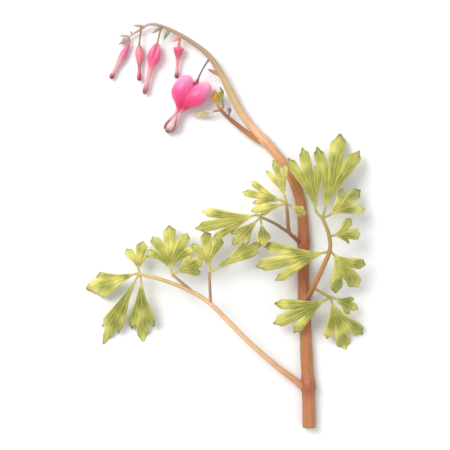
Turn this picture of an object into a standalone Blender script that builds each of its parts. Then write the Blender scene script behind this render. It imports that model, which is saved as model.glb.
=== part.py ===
# Bleeding heart flower stem, cut with three leaves on it and lying on a flat surface.
# +Z is up, +Y runs from the cut end towards the flowers. Lengths below are millimetres.

import math

import bmesh
import bpy
from mathutils import Matrix, Vector

METRES = 0.001

# Gap between two pieces that grow against each other
PIECE_GAP = 0.3

# Main stem, from the cut end to the tip of the flower spray
STEM_ROUTE = (
    (33.5, -80.4), (33.2, -68.0), (32.5, -53.0), (31.8, -38.0), (31.3, -23.0), (31.3, -8.0),
    (31.0, 2.0), (29.4, 12.0), (25.6, 20.8), (19.9, 28.9), (12.6, 36.9), (6.4, 44.6),
    (1.9, 53.0), (-1.9, 60.5), (-6.4, 66.9), (-12.5, 71.9), (-19.3, 76.1), (-25.7, 79.0),
    (-30.0, 79.7), (-33.4, 77.9), (-37.0, 75.7), (-39.6, 73.9),
)
STEM_RADIUS = (
    (0.0, 2.6), (0.3, 2.25), (0.5, 1.95), (0.62, 1.65), (0.75, 1.3), (0.86, 0.85), (0.94, 0.6), (1.0, 0.35),
)
STEM_LIFT = ((0.0, 0.0), (0.45, 0.0), (0.6, 0.9), (0.76, 3.6), (0.86, 4.1), (0.94, 2.9), (1.0, 1.7))
STEM_STATIONS = 66
STEM_SIDES = 10
STEM_PRESS = 0.12
JOINT_SWELL = 0.22
JOINT_LENGTH = 3.0

# Where leaves and the side shoot leave the stem
LEFT_JOINT = (32.9, -64.0)
RIGHT_JOINT = (31.6, -31.0)
MIDDLE_JOINT = (31.3, -7.0)
SHOOT_JOINT = (15.6, 33.6)

# Flowers, from the open one to the youngest bud: where each hangs, which way its tip points from
# straight down in degrees, how far the tip dips, and the height of its top over the surface
OPEN_HEART = {"base": (-12.2, 54.9), "turn": -31.0, "dip": 8.0, "height": 5.2}
YOUNG_HEART = {"base": (-27.0, 71.1), "turn": -15.0, "dip": 3.0, "height": 3.3}
TIGHT_BUD = {"base": (-18.3, 71.0), "turn": -5.0, "dip": 9.0, "height": 3.6}
SLIM_BUD = {"base": (-34.1, 71.7), "turn": 0.0, "dip": 1.5, "height": 2.5}
END_BUD = {"base": (-37.9, 72.6), "turn": -28.0, "dip": 1.0, "height": 2.0}

# The thin stalks that carry them, each ending just clear of its flower
PEDICEL_SIDES = 6
PEDICEL_STEP = 1.4
PEDICEL_RADIUS = ((0.0, 0.55), (0.6, 0.42), (1.0, 0.5))
OPEN_PEDICEL = ((-5.8, 66.3, 4.9), (-7.8, 63.2, 5.6), (-9.7, 59.7, 5.8), (-11.5, 56.2, 5.3))
YOUNG_PEDICEL = ((-25.1, 78.7, 4.2), (-25.8, 76.1, 4.4), (-26.4, 74.1, 4.0), (-26.7, 72.7, 3.6))
TIGHT_PEDICEL = ((-17.3, 74.7, 4.8), (-17.9, 73.3, 4.4), (-18.2, 71.3, 3.5))
SLIM_PEDICEL = ((-33.3, 77.8, 3.0), (-33.6, 75.8, 3.2), (-34.0, 72.2, 2.6))
END_PEDICEL = ((-38.4, 74.8, 2.2), (-38.2, 74.1, 2.1), (-38.0, 73.1, 2.0))

# Narrow bracts on the spray: root and tip
BRACT_SIDES = 5
BRACT_RADIUS = ((0.0, 0.35), (0.4, 0.6), (1.0, 0.2))
BRACT_ARCH = 0.3
BRACTS = (
    ((-1.7, 59.2, 4.6), (-6.9, 61.4, 6.2)),
    ((-22.0, 77.3, 4.6), (-24.2, 73.4, 4.4)),
    ((-24.6, 78.5, 4.2), (-28.9, 75.7, 5.0)),
    ((-17.4, 74.9, 4.9), (-20.6, 72.2, 5.6)),
    ((-32.0, 78.7, 3.3), (-36.6, 79.0, 4.4)),
    ((-38.0, 75.0, 2.2), (-42.2, 75.4, 2.2)),
    ((-39.2, 74.1, 1.9), (-42.4, 71.8, 1.4)),
)

# Outer petal of the open heart, right half: middle line, half width and half depth of the pouch,
# neck and spoon-shaped tip, from the top of the lobe to the tip
OPEN_PETAL_LINE = (
    (4.0, 4.0), (4.1, 2.2), (3.8, 0.2), (3.3, -2.0), (2.7, -4.2), (2.0, -6.4), (1.4, -8.6),
    (1.0, -10.4), (0.9, -12.0), (1.25, -13.9), (1.9, -15.9), (2.15, -17.8), (1.7, -20.2),
)
OPEN_PETAL_HALF_WIDTH = (
    (0.0, 2.9), (0.05, 3.1), (0.12, 3.2), (0.2, 3.65), (0.27, 3.9), (0.34, 3.6), (0.43, 2.75), (0.51, 1.7),
    (0.6, 0.75), (0.66, 0.5), (0.8, 0.4), (0.92, 0.42), (1.0, 0.36),
)
OPEN_PETAL_HALF_DEPTH = (
    (0.0, 2.6), (0.1, 3.7), (0.2, 4.4), (0.28, 4.5), (0.36, 4.0), (0.45, 3.1), (0.53, 2.1), (0.61, 1.35),
    (0.7, 1.2), (0.82, 1.8), (0.92, 2.0), (1.0, 1.7),
)

# The inner petals, held between the tips of the outer ones
INNER_PETAL_LINE = ((0.0, -12.7), (0.0, -14.8), (0.0, -18.5), (0.0, -21.5))
INNER_PETAL_HALF_WIDTH = (
    (0.0, 0.25), (0.2, 0.35), (0.4, 0.9), (0.6, 1.3), (0.76, 1.3), (0.88, 0.95), (1.0, 0.7),
)
INNER_PETAL_HALF_DEPTH = ((0.0, 0.5), (0.2, 0.7), (0.4, 1.3), (0.62, 1.9), (0.8, 2.0), (1.0, 1.5))

# Outer petal of the young heart, still closed over its neck
YOUNG_PETAL_LINE = (
    (0.7, 0.9), (0.95, -1.2), (1.0, -3.6), (0.85, -6.0), (0.62, -8.6), (0.5, -12.0),
    (0.5, -15.0), (0.6, -18.0), (0.5, -19.8),
)
YOUNG_PETAL_HALF_WIDTH = (
    (0.0, 0.85), (0.08, 1.0), (0.16, 1.4), (0.26, 1.65), (0.36, 1.3), (0.46, 0.85), (0.58, 0.6), (0.76, 0.5),
    (0.92, 0.62), (1.0, 0.5),
)
YOUNG_PETAL_HALF_DEPTH = (
    (0.0, 1.3), (0.12, 2.1), (0.25, 2.6), (0.38, 2.0), (0.5, 1.2), (0.62, 0.85), (0.78, 0.8), (0.92, 1.1),
    (1.0, 0.9),
)

# How much lower the left lobe of a heart hangs, as a share of how far out it reaches
OPEN_LEFT_DROOP = 0.34
YOUNG_LEFT_DROOP = 0.08

# Closed buds, round in section: length and half width along it
TIGHT_BUD_LENGTH = 12.8
TIGHT_BUD_HALF_WIDTH = (
    (0.0, 1.8), (0.06, 2.1), (0.13, 2.0), (0.22, 1.6), (0.32, 1.1), (0.44, 0.76), (0.58, 0.62),
    (0.74, 0.62), (0.88, 0.78), (0.95, 0.9), (1.0, 0.7),
)
SLIM_BUD_LENGTH = 14.4
SLIM_BUD_HALF_WIDTH = (
    (0.0, 0.85), (0.12, 1.3), (0.26, 1.6), (0.42, 1.15), (0.58, 0.68), (0.74, 0.6), (0.88, 0.86),
    (0.95, 0.92), (1.0, 0.75),
)
END_BUD_LENGTH = 16.4
END_BUD_HALF_WIDTH = (
    (0.0, 0.6), (0.16, 1.0), (0.32, 1.45), (0.48, 1.3), (0.64, 0.95), (0.8, 0.82), (0.9, 0.95), (0.95, 1.0),
    (1.0, 0.85),
)

# Points round and along a petal and a bud, and the shares of their length that round off at each end
PETAL_SIDES = 16
PETAL_STATIONS = 16
OPEN_PETAL_CAPS = (0.14, 0.1)
YOUNG_PETAL_CAPS = (0.12, 0.1)
BUD_SIDES = 10
BUD_STATIONS = 12
BUD_CAPS = (0.08, 0.08)
BUD_TOP = 0.1

# Points on a fine curve: from one given point to the next, and along the whole middle of a petal
SPAN_STEPS = 12
LINE_POINTS = 200

# Leaflets are fans of lobes. Each lobe is its place across the fan, from -1 to 1, and its reach.
# The count of columns sets points on every lobe tip and in every cleft.
BLADE_THICKNESS = 0.8
BLADE_ROWS = 3
BLADE_ROOT = 0.05
LOBE_ROUND = 0.5
LOBE_SIDE = 1.4
FAN_SPREAD = (0.5, 0.65, -0.15)
SIDE_DROOP = 2.2
THREE_LOBES = {
    "columns": 12, "half": 0.333, "cleft": 0.41,
    "lobes": ((-0.65, 0.8), (0.02, 1.0), (0.667, 0.88)),
}
LEFT_HEAVY = {
    "columns": 12, "half": 0.333, "cleft": 0.35,
    "lobes": ((-0.667, 0.92), (0.0, 1.0), (0.64, 0.74)),
}
RIGHT_HEAVY = {
    "columns": 12, "half": 0.333, "cleft": 0.41,
    "lobes": ((-0.64, 0.74), (0.0, 1.0), (0.667, 0.92)),
}
FIVE_LOBES = {
    "columns": 20, "half": 0.2, "cleft": 0.33,
    "lobes": ((-0.8, 0.7), (-0.4, 0.86), (0.0, 1.0), (0.4, 0.9), (0.8, 0.72)),
}
TWO_LOBES = {"columns": 10, "half": 0.4, "cleft": 0.46, "lobes": ((-0.6, 0.86), (0.2, 1.0), (0.9, 0.6))}
TOOTHED_LOBE = {"columns": 10, "half": 0.5, "cleft": 0.6, "lobes": ((-0.62, 0.76), (0.0, 1.0), (0.6, 0.82))}
BROAD_LOBE = {"columns": 10, "half": 0.65, "cleft": 0.6, "lobes": ((-0.6, 0.84), (0.0, 1.0), (0.6, 0.78))}

# A leaf's blades grow in groups from the end of a stalk. Each group: that joint, then its blades as
# root, tip, half angle of the fan, lobes, and how high the blade arches
LEFT_STALK = (
    (31.5, -64.6, 2.7), (26.5, -60.6, 4.6), (20.0, -55.4, 7.0), (10.0, -46.4, 10.0), (2.0, -38.2, 11.6),
    (-6.0, -30.4, 12.2), (-14.0, -25.5, 11.8), (-24.0, -21.6, 10.2), (-33.6, -19.2, 8.0),
)
LEFT_STALK_RADIUS = ((0.0, 1.35), (0.5, 1.0), (1.0, 0.65))
LEFT_BRANCHES = (
    ((-5.6, -30.8, 12.2), (-5.9, -24.0, 12.2), (-6.2, -18.4, 11.2)),
    ((-11.2, -27.2, 11.9), (-16.4, -22.8, 11.4), (-20.6, -19.4, 10.2)),
)
LEFT_GROUPS = (
    ((-33.4, -19.2, 8.0), (
        ((-35.3, -19.2, 8.0), (-54.9, -25.6, -0.2), 24, BROAD_LOBE, 2.0),
        ((-34.8, -21.0, 7.6), (-48.4, -47.0, -1.4), 15, TOOTHED_LOBE, 3.4),
        ((-33.0, -21.6, 7.6), (-32.6, -46.0, -1.2), 23, TOOTHED_LOBE, 3.4),
        ((-34.0, -17.2, 8.2), (-34.4, -6.6, 5.6), 52, TWO_LOBES, 1.0),
    )),
    ((-20.4, -19.5, 10.2), (
        ((-21.2, -17.4, 10.4), (-22.0, -0.4, 5.2), 70, FIVE_LOBES, 2.2),
        ((-19.0, -18.4, 10.2), (-8.8, -13.6, 8.0), 46, TOOTHED_LOBE, 1.0),
    )),
    ((-6.2, -18.6, 11.2), (
        ((-6.2, -16.4, 11.2), (-8.0, -2.8, 6.6), 48, THREE_LOBES, 1.6),
        ((-4.6, -17.6, 11.2), (15.0, -6.2, 8.4), 15, TOOTHED_LOBE, 1.0),
    )),
)

MIDDLE_STALK = (
    (30.2, -6.6, 3.4), (27.4, -5.0, 7.0), (25.0, -2.6, 10.6), (24.2, 3.0, 14.4), (23.6, 8.6, 16.4),
)
MIDDLE_STALK_RADIUS = ((0.0, 0.9), (0.4, 0.75), (1.0, 0.6))
MIDDLE_BRANCHES = (((25.2, -3.2, 10.2), (19.2, 0.6, 13.6), (13.6, 3.2, 15.2)),)
MIDDLE_GROUPS = (
    ((23.6, 8.4, 16.4), (
        ((23.2, 10.4, 16.4), (18.8, 25.0, 11.4), 28, THREE_LOBES, 1.6),
        ((21.8, 9.4, 16.4), (7.2, 12.8, 12.2), 30, RIGHT_HEAVY, 1.4),
        ((21.8, 7.8, 16.4), (10.4, 5.4, 14.6), 26, TOOTHED_LOBE, 0.8),
        ((25.4, 7.4, 16.3), (31.6, 4.0, 13.6), 34, TOOTHED_LOBE, 0.8),
    )),
    ((13.8, 3.1, 15.2), (
        ((12.2, 3.8, 15.2), (-11.0, -1.6, 11.4), 27, THREE_LOBES, 1.6),
        ((12.4, 1.8, 15.2), (3.0, -7.4, 13.4), 30, TOOTHED_LOBE, 1.0),
        ((14.0, 0.8, 15.0), (15.4, -8.4, 14.0), 34, TOOTHED_LOBE, 0.8),
    )),
)

RIGHT_STALK = (
    (32.2, -30.0, 3.6), (34.2, -25.4, 7.4), (37.6, -17.4, 12.4), (40.4, -9.6, 15.4), (39.8, -3.2, 16.2),
    (37.4, 3.0, 15.6),
)
RIGHT_STALK_RADIUS = ((0.0, 1.2), (0.5, 0.9), (1.0, 0.65))
RIGHT_BRANCHES = (((34.6, -24.6, 7.6), (38.2, -26.6, 9.8), (41.0, -28.2, 10.6)),)
RIGHT_GROUPS = (
    ((40.3, -9.8, 15.3), (
        ((38.6, -10.6, 15.2), (12.6, -16.4, 9.6), 29, THREE_LOBES, 2.4),
        ((41.8, -11.2, 15.2), (52.6, -24.2, 6.2), 52, THREE_LOBES, 2.4),
    )),
    ((37.4, 2.8, 15.6), (
        ((35.2, 5.2, 15.6), (30.4, 29.8, 8.2), 24, LEFT_HEAVY, 2.4),
        ((38.6, 6.2, 15.4), (45.4, 35.8, 1.0), 30, THREE_LOBES, 3.6),
        ((40.2, 3.8, 15.4), (53.2, 13.5, 5.6), 42, RIGHT_HEAVY, 2.6),
    )),
    ((40.0, -4.4, 16.1), (((42.0, -4.0, 16.0), (52.8, -1.6, 9.6), 52, TWO_LOBES, 1.4),)),
    ((40.8, -28.1, 10.6), (
        ((39.2, -29.2, 10.6), (19.6, -39.0, 6.4), 34, THREE_LOBES, 2.0),
        ((41.6, -29.8, 10.4), (48.0, -49.4, -1.0), 40, LEFT_HEAVY, 2.8),
        ((42.6, -28.6, 10.6), (52.4, -33.0, 5.6), 36, TOOTHED_LOBE, 1.2),
    )),
)
STALK_SIDES = 6
STALK_STEP = 3.5
STALK_PHASE = 0.21
BRANCH_RADIUS = ((0.0, 0.6), (1.0, 0.55))

# The midrib of a blade starts a little past its joint and runs out in the blade
MIDRIB_START = 0.4
MIDRIB_PLACES = (0.2, 0.42)
MIDRIB_STEP = 2.0
MIDRIB_RADIUS = ((0.0, 0.5), (0.4, 0.5), (1.0, 0.42))

# Side shoot with its folded young leaves and one tiny bud
SHOOT_ROUTE = (
    (15.5, 32.9, 2.3), (11.9, 34.5, 3.0), (8.2, 37.0, 3.6), (4.9, 39.5, 4.1), (1.4, 42.4, 4.5),
    (-1.9, 45.6, 4.6),
)
SHOOT_STEP = 2.5
SHOOT_RADIUS = ((0.0, 1.3), (0.4, 1.0), (1.0, 0.65))
SHOOT_GROUPS = (
    ((-1.7, 45.4, 4.6), (
        ((-2.9, 47.2, 4.8), (-4.2, 53.4, 3.0), 36, TOOTHED_LOBE, 0.6),
        ((-0.8, 46.8, 4.6), (-1.6, 54.4, 5.6), 10, TOOTHED_LOBE, 0.5),
        ((-3.5, 45.2, 4.6), (-12.4, 43.3, 1.8), 14, TOOTHED_LOBE, 0.5),
    )),
)
SHOOT_BUD_STALK = ((1.5, 42.3, 4.4), (1.7, 44.3, 4.8), (1.8, 46.4, 4.7))
SHOOT_BUD_RADIUS = ((0.0, 0.35), (0.45, 0.35), (0.75, 0.85), (1.0, 0.6))
SHOOT_BUD_STEP = 0.9


def clear_scene():
    for thing in list(bpy.data.objects):
        bpy.data.objects.remove(thing)


def finish_material(name, colour, roughness):
    made = bpy.data.materials.new(name)
    made.use_nodes = True
    shader = made.node_tree.nodes["Principled BSDF"]
    shader.inputs["Base Color"].default_value = (*colour, 1.0)
    shader.inputs["Roughness"].default_value = roughness
    shader.inputs["Metallic"].default_value = 0.0
    return made


def keyed(keys, place):
    """The value at a place between 0 and 1, on a smooth line through (place, value) keys."""
    places = [key[0] for key in keys]
    values = [key[1] for key in keys]
    last = len(keys) - 1
    slopes = []
    for i in range(last + 1):
        low, high = max(i - 1, 0), min(i + 1, last)
        slopes.append((values[high] - values[low]) / (places[high] - places[low]))
    place = min(max(place, places[0]), places[-1])
    i = max(k for k in range(last) if places[k] <= place)
    span = places[i + 1] - places[i]
    u = (place - places[i]) / span
    return (
        values[i] * (2 * u**3 - 3 * u**2 + 1)
        + slopes[i] * span * (u**3 - 2 * u**2 + u)
        + values[i + 1] * (3 * u**2 - 2 * u**3)
        + slopes[i + 1] * span * (u**3 - u**2)
    )


def smooth_line(points, count):
    """Evenly spaced points on a smooth curve through the given ones."""
    knots = [Vector((*point, 0.0)[:3]) for point in points]
    knots = [2 * knots[0] - knots[1], *knots, 2 * knots[-1] - knots[-2]]
    fine = []
    for a, b, c, d in zip(knots, knots[1:], knots[2:], knots[3:]):
        bend, twist = 2 * a - 5 * b + 4 * c - d, 3 * b - a - 3 * c + d
        for step in range(SPAN_STEPS):
            u = step / SPAN_STEPS
            fine.append(0.5 * (2 * b + (c - a) * u + bend * u**2 + twist * u**3))
    fine.append(knots[-2])
    reach = [0.0]
    for a, b in zip(fine, fine[1:]):
        reach.append(reach[-1] + (b - a).length)
    even = []
    i = 0
    for step in range(count):
        wanted = reach[-1] * step / (count - 1)
        while i < len(reach) - 2 and reach[i + 1] < wanted:
            i += 1
        share = (wanted - reach[i]) / (reach[i + 1] - reach[i])
        even.append(fine[i].lerp(fine[i + 1], share))
    return even


def rounded_ends(place, start, end):
    """1 along the middle of a body, falling to 0 at its ends on a round curve."""
    first = min(place / start, 1.0) if start else 1.0
    second = min((1.0 - place) / end, 1.0) if end else 1.0
    return math.sqrt(max(0.0, (1 - (1 - first) ** 2) * (1 - (1 - second) ** 2)))


def add_object(name, mesh_data, material):
    thing = bpy.data.objects.new(name, mesh_data)
    mesh_data.materials.append(material)
    bpy.context.scene.collection.objects.link(thing)
    return thing


def mesh_of(name, shape):
    bmesh.ops.recalc_face_normals(shape, faces=shape.faces)
    if shape.calc_volume(signed=True) < 0:
        bmesh.ops.reverse_faces(shape, faces=shape.faces)
    bmesh.ops.scale(shape, vec=(METRES, METRES, METRES), verts=shape.verts)
    mesh_data = bpy.data.meshes.new(name)
    shape.to_mesh(mesh_data)
    shape.free()
    return mesh_data


def ringed_body(centres, halves, sides, phase=0.0):
    """A closed body: a ball whose rings lie round the centres, with a pole at each end."""
    rings = len(centres) + 1
    shape = bmesh.new()
    bmesh.ops.create_uvsphere(shape, u_segments=sides, v_segments=rings, radius=1.0)
    last = len(centres) - 1
    for vertex in shape.verts:
        ring = round(math.acos(max(-1.0, min(1.0, vertex.co.z))) / math.pi * rings)
        angle = math.atan2(vertex.co.y, vertex.co.x) + phase
        i = min(max(ring - 1, 0), last)
        along = (centres[min(i + 1, last)] - centres[max(i - 1, 0)]).normalized()
        across = along.cross(Vector((0, 0, 1))).normalized()
        upward = across.cross(along)
        wide, deep = (0.0, 0.0) if ring in (0, rings) else halves[i]
        vertex.co = centres[i] + across * wide * math.cos(angle) + upward * deep * math.sin(angle)
    return shape


def stalk(name, route, radius_keys, material, sides=STALK_SIDES, spacing=STALK_STEP):
    knots = [Vector(point) for point in route]
    length = sum((b - a).length for a, b in zip(knots, knots[1:]))
    count = max(4, round(length / spacing))
    centres = smooth_line(route, count)
    halves = [(keyed(radius_keys, i / (count - 1)),) * 2 for i in range(count)]
    return add_object(name, mesh_of(name, ringed_body(centres, halves, sides, STALK_PHASE)), material)


def lobe_reach(across, fan):
    """How far a blade reaches at a place across its fan: the farthest of its lobes there."""
    reaches = []
    for place, reach in fan["lobes"]:
        away = min(abs(across - place) / fan["half"], LOBE_SIDE)
        reaches.append(reach * (1 - fan["cleft"] * (LOBE_ROUND * away**2 + (1 - LOBE_ROUND) * away**4)))
    return max(reaches)


def blade_point(root, tip, arch, ahead, aside):
    """A point on the top of a blade, from shares of its length ahead of its root and to its side."""
    forward = tip - root
    heading = Vector((forward.x, forward.y, 0.0)).normalized()
    sideways = heading.cross(Vector((0, 0, 1)))
    point = root + math.hypot(forward.x, forward.y) * (heading * ahead + sideways * aside)
    rise = arch * math.sin(math.pi * min(ahead, 1.0)) - SIDE_DROOP * arch * aside**2
    point.z = root.z + forward.z * ahead + rise
    return point


def leaflet(name, blade, material):
    """A lobed blade fanning out from its root. Where it would go under the surface it lies on it."""
    root, tip, half_angle, fan, arch = blade
    root, tip = Vector(root), Vector(tip)
    shape = bmesh.new()
    bmesh.ops.create_grid(shape, x_segments=fan["columns"], y_segments=BLADE_ROWS, size=1.0)
    for vertex in shape.verts:
        across = vertex.co.x
        outward = BLADE_ROOT + (1 - BLADE_ROOT) * (vertex.co.y + 1) / 2
        reach = lobe_reach(across, fan) * outward
        spread = sum(share * reach**power for power, share in enumerate(FAN_SPREAD))
        angle = math.radians(half_angle) * across * spread
        vertex.co = blade_point(root, tip, arch, reach * math.cos(angle), reach * math.sin(angle))
    bmesh.ops.triangulate(shape, faces=shape.faces)
    upper = list(shape.verts)
    made = bmesh.ops.extrude_face_region(shape, geom=list(shape.faces), use_keep_orig=True)
    lower = [part for part in made["geom"] if isinstance(part, bmesh.types.BMVert)]
    for vertex in upper:
        vertex.co.z = max(vertex.co.z, BLADE_THICKNESS)
    for vertex in lower:
        vertex.co.z = max(vertex.co.z - BLADE_THICKNESS, 0.0)
    return add_object(name, mesh_of(name, shape), material)


def midrib(name, joint, blade, material):
    """The short stalk of a blade, from its joint to where it runs out in the blade as the midrib."""
    root, tip, _, _, arch = blade
    root, tip, start = Vector(root), Vector(tip), Vector(joint)
    route = [start + (start - root).normalized() * MIDRIB_START, root]
    for ahead in MIDRIB_PLACES:
        route.append(blade_point(root, tip, arch, ahead, 0.0))
    for point in route[1:]:
        point.z = max(point.z, BLADE_THICKNESS) - BLADE_THICKNESS / 2
    return stalk(name, route, MIDRIB_RADIUS, material, STALK_SIDES, MIDRIB_STEP)


def applied(thing):
    """The object with its modifiers made part of its mesh."""
    graph = bpy.context.evaluated_depsgraph_get()
    baked = bpy.data.meshes.new_from_object(thing.evaluated_get(graph))
    thing.modifiers.clear()
    thing.data = baked
    return thing


def joined(host, pieces):
    """The host with the pieces fused to it as one body."""
    group = bpy.data.collections.new(host.name + "_pieces")
    bpy.context.scene.collection.children.link(group)
    for piece in pieces:
        bpy.context.scene.collection.objects.unlink(piece)
        group.objects.link(piece)
    union = host.modifiers.new("fuse", "BOOLEAN")
    union.operation = "UNION"
    union.operand_type = "COLLECTION"
    union.solver = "EXACT"
    union.collection = group
    applied(host)
    for piece in list(group.objects):
        bpy.data.objects.remove(piece)
    bpy.data.collections.remove(group)
    return host


def cut_clear(thing, cutter):
    trim = thing.modifiers.new("clear_of_stem", "BOOLEAN")
    trim.operation = "DIFFERENCE"
    trim.object = cutter
    trim.solver = "EXACT"
    return applied(thing)


def stem_radius(place, centre, joints):
    radius = keyed(STEM_RADIUS, place)
    for joint in joints:
        away = (Vector((*joint, 0.0)) - Vector((centre.x, centre.y, 0.0))).length
        radius *= 1 + JOINT_SWELL * math.exp(-((away / JOINT_LENGTH) ** 2))
    return radius


def stem_body(name, clearance, material):
    """The stem as a tapering tube that swells at its joints. Its lower part lies on the surface."""
    centres = smooth_line(STEM_ROUTE, STEM_STATIONS)
    joints = (LEFT_JOINT, RIGHT_JOINT, MIDDLE_JOINT, SHOOT_JOINT)
    halves = []
    for i, centre in enumerate(centres):
        place = i / (STEM_STATIONS - 1)
        radius = stem_radius(place, centre, joints)
        centre.z = radius - STEM_PRESS + max(0.0, keyed(STEM_LIFT, place))
        halves.append((radius + clearance,) * 2)
    return add_object(name, mesh_of(name, ringed_body(centres, halves, STEM_SIDES)), material)


def flatten_underside(thing):
    """Cuts off what would be under the surface, which leaves the stem its flat resting strip."""
    shape = bmesh.new()
    shape.from_mesh(thing.data)
    cut = bmesh.ops.bisect_plane(
        shape, geom=[*shape.verts, *shape.edges, *shape.faces], plane_co=(0, 0, 0), plane_no=(0, 0, -1),
        clear_outer=True,
    )
    rim = [part for part in cut["geom_cut"] if isinstance(part, bmesh.types.BMEdge)]
    bmesh.ops.holes_fill(shape, edges=rim)
    bmesh.ops.recalc_face_normals(shape, faces=shape.faces)
    shape.to_mesh(thing.data)
    shape.free()
    return thing


def main_stem(material):
    """The stem with its pedicels and bracts, flat where it rests."""
    stem = stem_body("main_stem", 0.0, material)
    pieces = []
    for i, route in enumerate((OPEN_PEDICEL, YOUNG_PEDICEL, TIGHT_PEDICEL, SLIM_PEDICEL, END_PEDICEL)):
        pieces.append(stalk(f"pedicel_{i}", route, PEDICEL_RADIUS, material, PEDICEL_SIDES, PEDICEL_STEP))
    for i, (root, tip) in enumerate(BRACTS):
        middle = (Vector(root) + Vector(tip)) / 2 + Vector((0, 0, BRACT_ARCH))
        route = (root, middle, tip)
        pieces.append(stalk(f"bract_{i}", route, BRACT_RADIUS, material, BRACT_SIDES, PEDICEL_STEP))
    return flatten_underside(joined(stem, pieces))


def blades(name, groups, material):
    """Every blade of a leaf and its midrib."""
    pieces = []
    for joint, group in groups:
        for blade in group:
            pieces.append(leaflet(f"{name}_blade_{len(pieces)}", blade, material))
            pieces.append(midrib(f"{name}_midrib_{len(pieces)}", joint, blade, material))
    return pieces


def leaf(name, route, radius_keys, branches, groups, material, stem_space):
    """A compound leaf: its stalk, the branches of the stalk, and its blades."""
    host = stalk(name, route, radius_keys, material)
    pieces = []
    for i, branch in enumerate(branches):
        pieces.append(stalk(f"{name}_branch_{i}", branch, BRANCH_RADIUS, material))
    pieces.extend(blades(name, groups, material))
    return cut_clear(joined(host, pieces), stem_space)


def side_shoot(material, stem_space):
    shoot = stalk("side_shoot", SHOOT_ROUTE, SHOOT_RADIUS, material, STALK_SIDES, SHOOT_STEP)
    pieces = [stalk("shoot_bud", SHOOT_BUD_STALK, SHOOT_BUD_RADIUS, material, STALK_SIDES, SHOOT_BUD_STEP)]
    pieces.extend(blades("side_shoot", SHOOT_GROUPS, material))
    return cut_clear(joined(shoot, pieces), stem_space)


def hang(thing, flower):
    """Places a piece of a flower, drawn hanging straight down from its base, where that flower lies."""
    turn = Matrix.Rotation(math.radians(flower["turn"]), 4, "Z")
    dip = Matrix.Rotation(math.radians(flower["dip"]), 4, "X")
    base = Vector((*flower["base"], flower["height"])) * METRES
    thing.matrix_world = Matrix.Translation(base) @ turn @ dip
    return thing


def petal_rings(line, half_width, half_depth, caps, stations):
    """Centres and half sizes of the rings of a petal or a bud, closer together towards its ends."""
    places = [(1 - math.cos(math.pi * (i + 1) / (stations + 1))) / 2 for i in range(stations)]
    fine = smooth_line(line, LINE_POINTS)
    centres = [fine[round(place * (LINE_POINTS - 1))] for place in places]
    halves = []
    for place in places:
        cap = rounded_ends(place, *caps)
        halves.append((keyed(half_width, place) * cap, keyed(half_depth, place) * cap))
    return centres, halves


def outer_petal(name, shape, side, left_droop, flower, material):
    """One pouched outer petal. Its inner face is flat where it meets the other petal at the seam."""
    body = ringed_body(*petal_rings(*shape, PETAL_STATIONS), PETAL_SIDES)
    for vertex in body.verts:
        vertex.co.x = side * max(vertex.co.x, PIECE_GAP / 2)
        vertex.co.y += left_droop * min(vertex.co.x, 0.0)
    return hang(add_object(name, mesh_of(name, body), material), flower)


def closed_body(name, line, half_width, half_depth, flower, material):
    rings = petal_rings(line, half_width, half_depth, BUD_CAPS, BUD_STATIONS)
    body = ringed_body(*rings, BUD_SIDES)
    return hang(add_object(name, mesh_of(name, body), material), flower)


def bud(name, length, half_width, flower, material):
    line = ((0.0, -BUD_TOP), (0.0, -length / 3), (0.0, -2 * length / 3), (0.0, -length))
    return closed_body(name, line, half_width, half_width, flower, material)


def flowers(pink, white):
    open_shape = (OPEN_PETAL_LINE, OPEN_PETAL_HALF_WIDTH, OPEN_PETAL_HALF_DEPTH, OPEN_PETAL_CAPS)
    young_shape = (YOUNG_PETAL_LINE, YOUNG_PETAL_HALF_WIDTH, YOUNG_PETAL_HALF_DEPTH, YOUNG_PETAL_CAPS)
    for side, word in ((-1, "left"), (1, "right")):
        outer_petal(f"open_heart_{word}_petal", open_shape, side, OPEN_LEFT_DROOP, OPEN_HEART, pink)
        outer_petal(f"young_heart_{word}_petal", young_shape, side, YOUNG_LEFT_DROOP, YOUNG_HEART, pink)
    closed_body(
        "open_heart_inner_petals", INNER_PETAL_LINE, INNER_PETAL_HALF_WIDTH, INNER_PETAL_HALF_DEPTH,
        OPEN_HEART, white,
    )
    bud("tight_bud", TIGHT_BUD_LENGTH, TIGHT_BUD_HALF_WIDTH, TIGHT_BUD, pink)
    bud("slim_bud", SLIM_BUD_LENGTH, SLIM_BUD_HALF_WIDTH, SLIM_BUD, pink)
    bud("end_bud", END_BUD_LENGTH, END_BUD_HALF_WIDTH, END_BUD, pink)


def build():
    clear_scene()
    stem_brown = finish_material("stem_skin", (0.48, 0.24, 0.12), 0.45)
    leaf_green = finish_material("leaf_green", (0.42, 0.5, 0.1), 0.5)
    petal_pink = finish_material("petal_pink", (0.85, 0.1, 0.28), 0.4)
    petal_white = finish_material("petal_white", (0.9, 0.82, 0.82), 0.4)
    stem_space = stem_body("stem_space", PIECE_GAP, stem_brown)
    main_stem(stem_brown)
    for name, *form in (
        ("leaf_left", LEFT_STALK, LEFT_STALK_RADIUS, LEFT_BRANCHES, LEFT_GROUPS),
        ("leaf_middle", MIDDLE_STALK, MIDDLE_STALK_RADIUS, MIDDLE_BRANCHES, MIDDLE_GROUPS),
        ("leaf_right", RIGHT_STALK, RIGHT_STALK_RADIUS, RIGHT_BRANCHES, RIGHT_GROUPS),
    ):
        leaf(name, *form, leaf_green, stem_space)
    side_shoot(stem_brown, stem_space)
    bpy.data.objects.remove(stem_space)
    flowers(petal_pink, petal_white)


build()
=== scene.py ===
import math
import bpy
from mathutils import Matrix, Vector, kdtree, noise


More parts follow.
